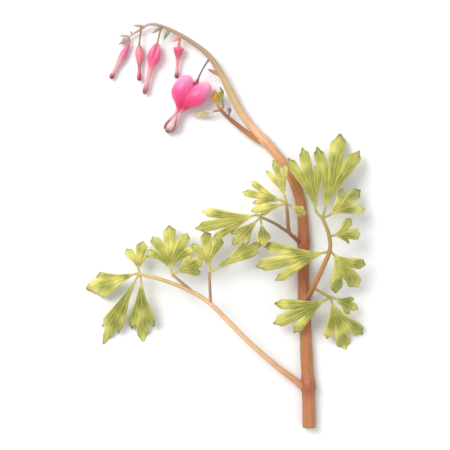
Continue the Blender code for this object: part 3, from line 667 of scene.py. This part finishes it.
def makeBlade(name, spec, tone, seed):  # a lobed blade with a toothed edge, sunk veins and raised panels
    root, tip, halfAngle, fan, arch = spec
    root, tip = Vector(root), Vector(tip)
    length = (tip - root).length
    rolled = bladeShape["roll"] * length * noise.noise(Vector((seed * 7.3, 0.0, 0.0)))
    piece = addGrid(name, bladeShape["across"], bladeShape["along"])
    rows = []
    for vertex in piece.data.vertices:
        across = vertex.co.x
        outward = bladeShape["root"] + (1 - bladeShape["root"]) * (vertex.co.y + 1) / 2
        reached, place, away = lobeAt(across, fan)
        teeth = math.cos(away * bladeShape["teeth"] * math.pi) * (1 - 0.3 * away)
        uneven = noise.noise(Vector((across * bladeShape["unevenScale"], seed, 0)))
        toothed = 1 + bladeShape["tooth"] * teeth + bladeShape["uneven"] * uneven
        reach = reached * toothed * outward
        spread = sum(share * reach**power for power, share in enumerate(bladeShape["spread"]))
        angle = math.radians(halfAngle) * across * spread
        point = bladePoint(root, tip, arch, reach * math.cos(angle), reach * math.sin(angle))

        gap = abs(across - place) * length * math.radians(halfAngle) * reach  # from the lobe's own vein
        vein, panel = ribbingAt(outward, away, gap)
        scale = bladeShape["waveScale"]
        slow = noise.noise(Vector((point.x * scale, point.y * scale, seed * 3.7))) * outward
        curl = noise.noise(Vector((across * bladeShape["curlScale"], outward, seed + 9.0)))
        curl *= smoothStep(0.7, 1.0, outward)
        relief = bladeRelief(outward, away, vein, panel) + bladeShape["wave"] * (slow + curl)
        relief += rolled * reach * math.sin(angle)
        scale = bladeShape["patchScale"]
        patch = 0.5 + bladeShape["patch"] * noise.noise(Vector((point.x * scale, point.y * scale, seed)))
        point.z = max(point.z + relief * smoothStep(0.0, 0.25, outward), bladeShape["thickness"])
        vertex.co = point
        size, pace = bladeShape["grainSize"]
        rows.append((bladeColour(outward, away, vein, tone, patch), (across * size, seed, outward * pace)))
    paintAndFlow(piece, rows)
    thicken(piece, bladeShape["thickness"], -1.0)
    paint = piece.data.attributes["paint"]
    for vertex in list(piece.data.vertices)[len(rows):]:  # the paler, duller underside
        colour = Vector(paint.data[vertex.index].color[:3])
        colour = colour.lerp(linear(leafColours["under"]), leafShares["under"])
        paint.data[vertex.index].color = (*colour, 1.0)
        vertex.co.z = max(vertex.co.z, 0.0)
    return piece


midrib = {
    "inside": 0.4, "places": (0.2, 0.42, 0.66), "depths": (0.0, 0.35, 0.42, 0.46, 0.4), "lowest": 0.7,
    "radius": ((0.0, 0.5), (0.3, 0.44), (0.7, 0.26), (1.0, 0.1)), "sides": 10, "spacing": 0.6,
}


def makeMidrib(name, joint, spec, colours):  # from inside the joint, along the blade's middle
    root, tip, arch = Vector(spec[0]), Vector(spec[1]), spec[4]
    start = Vector(joint)
    route = [start + (start - root).normalized() * midrib["inside"], root.copy()]
    for ahead in midrib["places"]:
        route.append(bladePoint(root, tip, arch, ahead, 0.0))
    for point, depth in zip(route, midrib["depths"]):
        point.z = max(point.z, midrib["lowest"]) - depth
    shape = {"route": route, "radius": midrib["radius"], "colours": colours}
    return makeStalk(name, shape, midrib["sides"], midrib["spacing"])


leftLeaf = {
    "stalk": {
        "route": (
            (31.0, -64.2, 2.9), (26.5, -60.6, 4.6), (20.0, -55.4, 7.0), (10.0, -46.4, 10.0),
            (2.0, -38.2, 11.6), (-6.0, -30.4, 12.2), (-14.0, -25.5, 11.8), (-24.0, -21.6, 10.2),
            (-33.6, -19.2, 8.0),
        ),
        "radius": ((0.0, 1.6), (0.04, 1.3), (0.5, 1.0), (1.0, 0.65)),
        "colours": (
            (0.0, (214, 142, 106)), (0.3, (250, 196, 160)), (0.6, (240, 190, 152)), (0.8, (216, 184, 132)),
            (1.0, (222, 192, 128)),
        ),
    },
    "branches": (
        ((-5.6, -30.8, 12.2), (-5.9, -24.0, 12.2), (-6.2, -18.4, 11.2)),
        ((-11.2, -27.2, 11.9), (-16.4, -22.8, 11.4), (-20.6, -19.4, 10.2)),
    ),
    "branchColours": ((0.0, (190, 134, 112)), (0.5, (168, 122, 116)), (1.0, (180, 152, 108))),
    "groups": (
        ((-33.4, -19.2, 8.0), (
            ((-35.3, -19.2, 8.0), (-54.9, -25.6, -0.2), 24, broadLobe, 2.0),
            ((-34.8, -21.0, 7.6), (-48.4, -47.0, -1.4), 15, toothedLobe, 3.4),
            ((-33.0, -21.6, 7.6), (-32.6, -46.0, -1.2), 23, toothedLobe, 3.4),
            ((-34.0, -17.2, 8.2), (-34.4, -6.6, 5.6), 52, twoLobes, 1.0),
        )),
        ((-20.4, -19.5, 10.2), (
            ((-21.2, -17.4, 10.4), (-22.0, -0.4, 5.2), 70, fiveLobes, 2.2),
            ((-19.0, -18.4, 10.2), (-8.8, -13.6, 8.0), 46, toothedLobe, 1.0),
        )),
        ((-6.2, -18.6, 11.2), (
            ((-6.2, -16.4, 11.2), (-8.0, -2.8, 6.6), 48, threeLobes, 1.6),
            ((-4.6, -17.6, 11.2), (15.0, -6.2, 8.4), 15, toothedLobe, 1.0),
        )),
    ),
    "tone": 0.45, "seed": 1.0,
}
middleLeaf = {
    "stalk": {
        "route": (
            (29.9, -7.2, 3.2), (27.4, -5.0, 7.0), (25.0, -2.6, 10.6), (24.2, 3.0, 14.4), (23.6, 8.6, 16.4),
        ),
        "radius": ((0.0, 1.1), (0.06, 0.9), (0.4, 0.75), (1.0, 0.6)),
        "colours": (
            (0.0, (150, 74, 66)), (0.4, (160, 84, 78)), (0.8, (150, 104, 80)), (1.0, (180, 160, 92)),
        ),
    },
    "branches": (((25.2, -3.2, 10.2), (19.2, 0.6, 13.6), (13.6, 3.2, 15.2)),),
    "branchColours": ((0.0, (150, 80, 74)), (0.6, (128, 104, 92)), (1.0, (160, 150, 92))),
    "groups": (
        ((23.6, 8.4, 16.4), (
            ((23.2, 10.4, 16.4), (18.8, 25.0, 11.4), 28, threeLobes, 1.6),
            ((21.8, 9.4, 16.4), (7.2, 12.8, 12.2), 30, rightHeavy, 1.4),
            ((21.8, 7.8, 16.4), (10.4, 5.4, 14.6), 26, toothedLobe, 0.8),
            ((25.4, 7.4, 16.3), (31.6, 4.0, 13.6), 34, toothedLobe, 0.8),
        )),
        ((13.8, 3.1, 15.2), (
            ((12.2, 3.8, 15.2), (-11.0, -1.6, 11.4), 27, threeLobes, 1.6),
            ((12.4, 1.8, 15.2), (3.0, -7.4, 13.4), 30, toothedLobe, 1.0),
            ((14.0, 0.8, 15.0), (15.4, -8.4, 14.0), 34, toothedLobe, 0.8),
        )),
    ),
    "tone": 0.25, "seed": 21.0,
}
rightLeaf = {
    "stalk": {
        "route": (
            (32.0, -30.4, 3.3), (34.2, -25.4, 7.4), (37.6, -17.4, 12.4), (40.4, -9.6, 15.4),
            (39.8, -3.2, 16.2), (37.4, 3.0, 15.6),
        ),
        "radius": ((0.0, 1.4), (0.05, 1.15), (0.5, 0.9), (1.0, 0.65)),
        "colours": (
            (0.0, (160, 88, 68)), (0.4, (196, 124, 84)), (0.8, (180, 140, 88)), (1.0, (170, 160, 88)),
        ),
    },
    "branches": (((34.6, -24.6, 7.6), (38.2, -26.6, 9.8), (41.0, -28.2, 10.6)),),
    "branchColours": ((0.0, (184, 110, 80)), (1.0, (170, 146, 88))),
    "groups": (
        ((40.3, -9.8, 15.3), (
            ((38.6, -10.6, 15.2), (12.6, -16.4, 9.6), 29, threeLobes, 2.4),
            ((41.8, -11.2, 15.2), (52.6, -24.2, 6.2), 52, threeLobes, 2.4),
        )),
        ((37.4, 2.8, 15.6), (
            ((35.2, 5.2, 15.6), (30.4, 29.8, 8.2), 24, leftHeavy, 2.4),
            ((38.6, 6.2, 15.4), (45.4, 35.8, 1.0), 30, threeLobes, 3.6),
            ((40.2, 3.8, 15.4), (53.2, 13.5, 5.6), 42, rightHeavy, 2.6),
        )),
        ((40.0, -4.4, 16.1), (((42.0, -4.0, 16.0), (52.8, -1.6, 9.6), 52, twoLobes, 1.4),)),
        ((40.8, -28.1, 10.6), (
            ((39.2, -29.2, 10.6), (19.6, -39.0, 6.4), 34, threeLobes, 2.0),
            ((41.6, -29.8, 10.4), (48.0, -49.4, -1.0), 40, leftHeavy, 2.8),
            ((42.6, -28.6, 10.6), (52.4, -33.0, 5.6), 36, toothedLobe, 1.2),
        )),
    ),
    "tone": 0.75, "seed": 43.0,
}
leafParts = {
    "stalkSides": 20, "branchSides": 14, "spacing": 0.5, "toneSpread": 0.6,
    "branchRadius": ((0.0, 0.7), (0.2, 0.6), (1.0, 0.55)),
    "ribColours": ((0.5, (186, 190, 110)), (1.0, (170, 186, 100))),
}


def makeGroups(leaf, ribColours):
    pieces = []
    for joint, blades in leaf["groups"]:
        for spec in blades:
            number = len(pieces)
            shift = noise.noise(Vector((spec[1][0], spec[1][1], leaf["seed"])))
            tone = leaf["tone"] + leafParts["toneSpread"] * shift
            pieces.append(makeBlade("blade" + str(number), spec, tone, leaf["seed"] + number))
            pieces.append(makeMidrib("midrib" + str(number), joint, spec, ribColours))
    return pieces


def makeLeaf(name, leaf, node):
    stalkEnd = leaf["stalk"]["colours"][-1][1]
    spacing = leafParts["spacing"]
    pieces = [makeStalk("leafStalk", leaf["stalk"], leafParts["stalkSides"], spacing)]
    for i, route in enumerate(leaf["branches"]):
        branch = {"route": route, "radius": leafParts["branchRadius"], "colours": leaf["branchColours"]}
        pieces.append(makeStalk("leafBranch" + str(i), branch, leafParts["branchSides"], spacing))
    pieces.extend(makeGroups(leaf, ((0.0, stalkEnd), *leafParts["ribColours"])))
    finishPiece(joinPieces(name, pieces), [node], leafSkin)


# side shoot under the spray: folded young leaves and a tiny bud

shoot = {
    "stalk": {
        "route": (
            (15.8, 32.7, 2.2), (11.9, 34.5, 3.0), (8.2, 37.0, 3.6), (4.9, 39.5, 4.1), (1.4, 42.4, 4.5),
            (-1.9, 45.6, 4.6),
        ),
        "radius": ((0.0, 1.4), (0.4, 1.0), (1.0, 0.65)),
        "colours": (
            (0.0, (214, 142, 108)), (0.4, (190, 104, 84)), (0.8, (150, 78, 70)), (1.0, (160, 96, 74)),
        ),
    },
    "bud": {
        "route": ((1.5, 42.3, 4.4), (1.7, 44.3, 4.8), (1.8, 46.4, 4.7)),
        "radius": ((0.0, 0.35), (0.45, 0.35), (0.75, 0.85), (1.0, 0.5)),
        "colours": ((0.0, (150, 96, 80)), (0.5, (140, 110, 120)), (1.0, (128, 100, 124))),
    },
    "groups": (
        ((-1.7, 45.4, 4.6), (
            ((-2.9, 47.2, 4.8), (-4.2, 53.4, 3.0), 36, toothedLobe, 0.6),
            ((-0.8, 46.8, 4.6), (-1.6, 54.4, 5.6), 10, toothedLobe, 0.5),
            ((-3.5, 45.2, 4.6), (-12.4, 43.3, 1.8), 14, toothedLobe, 0.5),
        )),
    ),
    "ribColours": ((0.0, (170, 104, 78)), (1.0, (190, 150, 96))),
    "tints": ((246, 168, 78), (142, 158, 96), (250, 238, 212)), "tintShare": 0.75,
    "tone": 0.1, "seed": 71.0,
}


def makeShoot():
    pieces = [makeStalk("shootStalk", shoot["stalk"], sides=18, spacing=0.4)]
    pieces.append(makeStalk("shootBud", shoot["bud"], sides=14, spacing=0.25))
    made = makeGroups(shoot, shoot["ribColours"])
    for blade, tint in zip(made[::2], shoot["tints"]):  # each young leaf has a colour of its own
        for row in blade.data.attributes["paint"].data:
            colour = Vector(row.color[:3]).lerp(linear(tint), shoot["tintShare"])
            row.color = (*colour, 1.0)
    pieces.extend(made)
    finishPiece(joinPieces("sideShoot", pieces), ["side_shoot"], leafSkin)


# flowers, drawn hanging straight down from their base and then laid in place

openHeart = {"base": (-12.2, 54.9), "turn": -31.0, "dip": 8.0, "height": 5.2}
youngHeart = {"base": (-27.0, 71.1), "turn": -15.0, "dip": 3.0, "height": 3.3}
tightBud = {"base": (-18.3, 71.0), "turn": -5.0, "dip": 9.0, "height": 3.6}
slimBud = {"base": (-34.1, 71.7), "turn": 0.0, "dip": 1.5, "height": 2.5}
endBud = {"base": (-37.9, 72.6), "turn": -28.0, "dip": 1.0, "height": 2.0}

openPetal = {
    "line": (
        (4.0, 4.0), (4.1, 2.2), (3.8, 0.2), (3.3, -2.0), (2.7, -4.2), (2.0, -6.4), (1.4, -8.6),
        (1.0, -10.4), (0.9, -12.0), (1.25, -13.9), (1.9, -15.9), (2.15, -17.8), (1.7, -20.2),
    ),
    "width": (
        (0.0, 2.9), (0.05, 3.1), (0.12, 3.2), (0.2, 3.65), (0.27, 3.9), (0.34, 3.6), (0.43, 2.75),
        (0.51, 1.7), (0.6, 0.75), (0.66, 0.5), (0.8, 0.4), (0.92, 0.42), (1.0, 0.36),
    ),
    "depth": (
        (0.0, 2.6), (0.1, 3.7), (0.2, 4.4), (0.28, 4.5), (0.36, 4.0), (0.45, 3.1), (0.53, 2.1),
        (0.61, 1.35), (0.7, 1.2), (0.82, 1.8), (0.92, 2.0), (1.0, 1.7),
    ),
    "caps": (0.14, 0.1), "ribs": 0.014, "merge": 1.2, "loose": 0.66, "leftDroop": 0.34,
    "colours": (
        (0.0, (254, 198, 228)), (0.08, (252, 174, 216)), (0.18, (250, 130, 186)), (0.32, (247, 88, 148)),
        (0.44, (238, 66, 120)), (0.56, (214, 62, 104)), (0.62, (232, 134, 158)), (0.7, (232, 190, 190)),
        (0.8, (216, 188, 184)), (0.92, (162, 132, 136)), (1.0, (92, 62, 74)),
    ),
    "veins": (214, 48, 112), "shade": (204, 48, 104), "seam": (236, 150, 190),
}
innerPetal = {
    "line": ((0.0, -12.7), (0.0, -14.8), (0.0, -18.5), (0.0, -21.5)),
    "width": ((0.0, 0.35), (0.2, 0.5), (0.4, 1.15), (0.6, 1.7), (0.76, 1.7), (0.88, 1.3), (1.0, 0.95)),
    "depth": ((0.0, 0.5), (0.2, 0.7), (0.4, 1.3), (0.62, 1.9), (0.8, 2.0), (1.0, 1.5)),
    "caps": (0.08, 0.08), "ribs": 0.05,
    "colours": (
        (0.0, (228, 160, 170)), (0.3, (236, 202, 196)), (0.6, (236, 210, 202)), (0.76, (200, 168, 164)),
        (0.88, (124, 90, 98)), (1.0, (78, 54, 64)),
    ),
    "veins": (216, 152, 158), "shade": (166, 126, 130),
}
youngPetal = {
    "line": (
        (0.7, 0.9), (0.95, -1.2), (1.0, -3.6), (0.85, -6.0), (0.62, -8.6), (0.5, -12.0),
        (0.5, -15.0), (0.6, -18.0), (0.5, -19.8),
    ),
    "width": (
        (0.0, 0.85), (0.08, 1.0), (0.16, 1.4), (0.26, 1.65), (0.36, 1.3), (0.46, 0.85), (0.58, 0.6),
        (0.76, 0.5), (0.92, 0.62), (1.0, 0.5),
    ),
    "depth": (
        (0.0, 1.3), (0.12, 2.1), (0.25, 2.6), (0.38, 2.0), (0.5, 1.2), (0.62, 0.85), (0.78, 0.8),
        (0.92, 1.1), (1.0, 0.9),
    ),
    "caps": (0.12, 0.1), "ribs": 0.015, "merge": 0.8, "loose": 0.4, "leftDroop": 0.08,
    "colours": (
        (0.0, (246, 160, 190)), (0.12, (250, 148, 186)), (0.26, (242, 106, 152)), (0.38, (236, 114, 148)),
        (0.5, (238, 158, 172)), (0.62, (236, 172, 176)), (0.8, (214, 162, 164)), (0.9, (154, 118, 124)),
        (1.0, (112, 88, 96)),
    ),
    "veins": (204, 52, 104), "shade": (194, 56, 98), "seam": (232, 110, 156),
}
tightShape = {
    "length": 12.8,
    "width": (
        (0.0, 1.8), (0.06, 2.1), (0.13, 2.0), (0.22, 1.6), (0.32, 1.1), (0.44, 0.76), (0.58, 0.62),
        (0.74, 0.62), (0.88, 0.78), (0.95, 0.9), (1.0, 0.7),
    ),
    "colours": (
        (0.0, (250, 160, 150)), (0.08, (236, 124, 138)), (0.2, (208, 106, 138)), (0.32, (212, 128, 150)),
        (0.48, (228, 174, 174)), (0.75, (228, 184, 180)), (0.88, (132, 98, 98)), (1.0, (66, 54, 58)),
    ),
    "veins": (170, 56, 96), "shade": (160, 60, 92),
}
slimShape = {
    "length": 14.4,
    "width": (
        (0.0, 0.85), (0.12, 1.3), (0.26, 1.6), (0.42, 1.15), (0.58, 0.68), (0.74, 0.6), (0.88, 0.86),
        (0.95, 0.92), (1.0, 0.75),
    ),
    "colours": (
        (0.0, (178, 142, 120)), (0.12, (222, 152, 144)), (0.26, (238, 152, 158)), (0.42, (230, 144, 150)),
        (0.6, (178, 122, 122)), (0.76, (188, 108, 114)), (0.88, (178, 48, 68)), (1.0, (120, 34, 50)),
    ),
    "veins": (190, 70, 90), "shade": (170, 70, 84),
}
endShape = {
    "length": 16.4,
    "width": (
        (0.0, 0.6), (0.16, 1.0), (0.32, 1.45), (0.48, 1.3), (0.64, 0.95), (0.8, 0.82), (0.9, 0.95),
        (0.95, 1.0), (1.0, 0.85),
    ),
    "colours": (
        (0.0, (200, 126, 144)), (0.14, (214, 116, 148)), (0.34, (216, 132, 160)), (0.5, (226, 168, 172)),
        (0.66, (228, 184, 176)), (0.82, (212, 170, 158)), (0.9, (130, 98, 100)), (1.0, (66, 50, 58)),
    ),
    "veins": (176, 70, 110), "shade": (160, 76, 104),
}
petalForm = {
    "steps": 400, "ribs": 12, "lump": 0.03, "lumpScale": (1.4, 5.0), "grainSize": (3.2, 0.05),
    "veinShare": 0.2, "shadeShare": 0.3, "seamWidth": 0.45, "seamDip": 0.1, "seamShare": 0.6,
}


def rounded(place, start, end):  # from 0 to 1 and back, over the petal's two ends
    first, second = min(place / start, 1.0), min((1.0 - place) / end, 1.0)
    return math.sqrt(max(0.0, (1 - (1 - first) ** 2) * (1 - (1 - second) ** 2)))


def laidMatrix(flower):
    return (
        Matrix.Translation(Vector((*flower["base"], flower["height"])))
        @ Matrix.Rotation(math.radians(flower["turn"]), 4, "Z")
        @ Matrix.Rotation(math.radians(flower["dip"]), 4, "X")
    )


def makePetal(name, spec, flower, side, segments=72, rings=84):
    # a ball drawn out along the petal's line; side -1 and 1 are the halves of a heart, 0 a whole bud
    piece = addBall(name, segments, rings, 1.0)
    line = smoothLine(spec["line"], petalForm["steps"])
    last = petalForm["steps"] - 1
    length = sum((b - a).length for a, b in zip(line, line[1:]))
    laid = laidMatrix(flower)
    rows = []
    for vertex in piece.data.vertices:
        place = (1 - max(-1.0, min(1.0, vertex.co.z))) / 2
        angle = math.atan2(vertex.co.y, vertex.co.x)
        i = math.ceil(place * last - 0.5)
        along = (line[min(i + 2, last)] - line[max(i - 2, 0)]).normalized()
        across = along.cross(Vector((0, 0, 1))).normalized()
        upward = across.cross(along)
        cap = rounded(place, *spec["caps"])
        wide, deep = keyed(spec["width"], place) * cap, keyed(spec["depth"], place) * cap
        rib = 1 + spec["ribs"] * math.cos(angle * petalForm["ribs"]) * smoothStep(0.05, 0.35, place)
        size, pace = petalForm["lumpScale"]
        rib += petalForm["lump"] * noise.noise(onRing(angle, size, place * pace + side))
        point = line[i] + across * wide * rib * math.cos(angle) + upward * deep * rib * math.sin(angle)
        colour = blendKeys(spec["colours"], place)
        vein = max(0.0, math.cos(angle * petalForm["ribs"] + 5 * place)) ** 4 * smoothStep(0.1, 0.4, place)
        colour = colour.lerp(linear(spec["veins"]), petalForm["veinShare"] * vein)
        # painted shade: the underside of every petal and bud takes its shade colour
        under = smoothStep(0.3, -0.8, math.sin(angle))
        colour = colour.lerp(linear(spec["shade"]), petalForm["shadeShare"] * under)
        if side:
            merge = spec["merge"] * smoothStep(0.1, 0.4, place)  # lower down the halves lie flush
            merge *= 1 - spec["loose"] * smoothStep(0.45, 0.6, place)  # and the tails keep their width
            point.x = math.sqrt(point.x**2 - merge**2) if point.x > merge else 0.0
            seam = math.exp(-((point.x / petalForm["seamWidth"]) ** 2))
            point.z *= 1 - petalForm["seamDip"] * seam * smoothStep(0.45, 0.2, place)
            seam *= petalForm["seamShare"] * smoothStep(0.5, 0.3, place)
            colour = colour.lerp(linear(spec["seam"]), seam)
        size, pace = petalForm["grainSize"]
        rows.append((colour, onRing(angle, size, place * length * pace)))
        if side < 0:
            point.y -= spec["leftDroop"] * point.x
            point.x *= side
        vertex.co = laid @ point
        vertex.co.z = max(vertex.co.z, 0.0)
    paintAndFlow(piece, rows)
    return piece


def makeBud(name, shape, flower):
    length = shape["length"]
    spec = {
        "line": ((0.0, -0.1), (0.0, -length / 3), (0.0, -2 * length / 3), (0.0, -length)),
        "width": shape["width"], "depth": shape["width"], "caps": (0.08, 0.08), "ribs": 0.03,
        "colours": shape["colours"], "veins": shape["veins"], "shade": shape["shade"],
    }
    return makePetal(name, spec, flower, 0, segments=48, rings=64)


def makeFlowers():
    for side, word, node in ((-1, "Left", "left"), (1, "Right", "right")):
        petal = makePetal("openHeart" + word + "Petal", openPetal, openHeart, side)
        finishPiece(petal, ["open_heart_" + node + "_petal"], petalSkin)
        petal = makePetal("youngHeart" + word + "Petal", youngPetal, youngHeart, side)
        finishPiece(petal, ["young_heart_" + node + "_petal"], petalSkin)
    inner = makePetal("openHeartInnerPetals", innerPetal, openHeart, 0, segments=56, rings=48)
    finishPiece(inner, ["open_heart_inner_petals"], paleSkin)
    for name, shape, flower, node in (
        ("tightBud", tightShape, tightBud, "tight_bud"),
        ("slimBud", slimShape, slimBud, "slim_bud"),
        ("endBud", endShape, endBud, "end_bud"),
    ):
        finishPiece(makeBud(name, shape, flower), [node], petalSkin)


# table, light and camera

studio = {
    "floorSize": 6.0, "fibre": 900.0, "floorTone": (0.86, 0.92), "sky": 0.65,
    "lens": 85.0, "distance": 0.425, "clip": 0.01,
    "keyPlace": (-0.35, 0.3, 0.6), "keySize": 0.4, "keyPower": 4.5,
    "fillPlace": (0.5, -0.2, 0.5), "fillSize": 0.8, "fillPower": 1.0,
}


def makeFloor():
    deselectAll()
    bpy.ops.mesh.primitive_plane_add(size=studio["floorSize"], location=(0, 0, 0))
    floor = bpy.context.object
    floor.name = "table"
    material = bpy.data.materials.new("paperWhite")
    material.use_nodes = True
    tree = material.node_tree
    shader = tree.nodes["Principled BSDF"]
    place = tree.nodes.new("ShaderNodeTexCoord").outputs["Object"]
    fibre = addPattern(tree, "ShaderNodeTexNoise", place, {"Scale": studio["fibre"]})
    low, high = studio["floorTone"]
    tree.links.new(fitted(tree, fibre, {"To Min": low, "To Max": high}), shader.inputs["Base Color"])
    setInputs(shader, {"Roughness": 0.8})
    floor.data.materials.append(material)


def addLamp(name, place, size, power):
    deselectAll()
    bpy.ops.object.light_add(type="AREA", location=place)
    lamp = bpy.context.object
    lamp.name = name
    lamp.data.size = size
    lamp.data.energy = power
    lamp.rotation_euler = (-Vector(place)).to_track_quat("-Z", "Y").to_euler()


def makeStudio():
    makeFloor()
    addLamp("keyLight", studio["keyPlace"], studio["keySize"], studio["keyPower"])
    addLamp("fillLight", studio["fillPlace"], studio["fillSize"], studio["fillPower"])
    world = bpy.context.scene.world or bpy.data.worlds.new("studioAir")
    bpy.context.scene.world = world
    world.use_nodes = True
    sky = world.node_tree.nodes["Background"]
    setInputs(sky, {"Color": (1.0, 1.0, 1.0, 1.0), "Strength": studio["sky"]})
    bpy.context.scene.view_settings.view_transform = "Standard"
    deselectAll()
    bpy.ops.object.camera_add(location=(0.0, 0.0, studio["distance"]), rotation=(0.0, 0.0, 0.0))
    camera = bpy.context.object
    camera.data.lens = studio["lens"]
    camera.data.clip_start = studio["clip"]
    bpy.context.scene.camera = camera
    print("studio set")


makeMainStem()
makeLeaf("leftLeaf", leftLeaf, "leaf_left")
makeLeaf("middleLeaf", middleLeaf, "leaf_middle")
makeLeaf("rightLeaf", rightLeaf, "leaf_right")
makeShoot()
makeFlowers()
makeStudio()
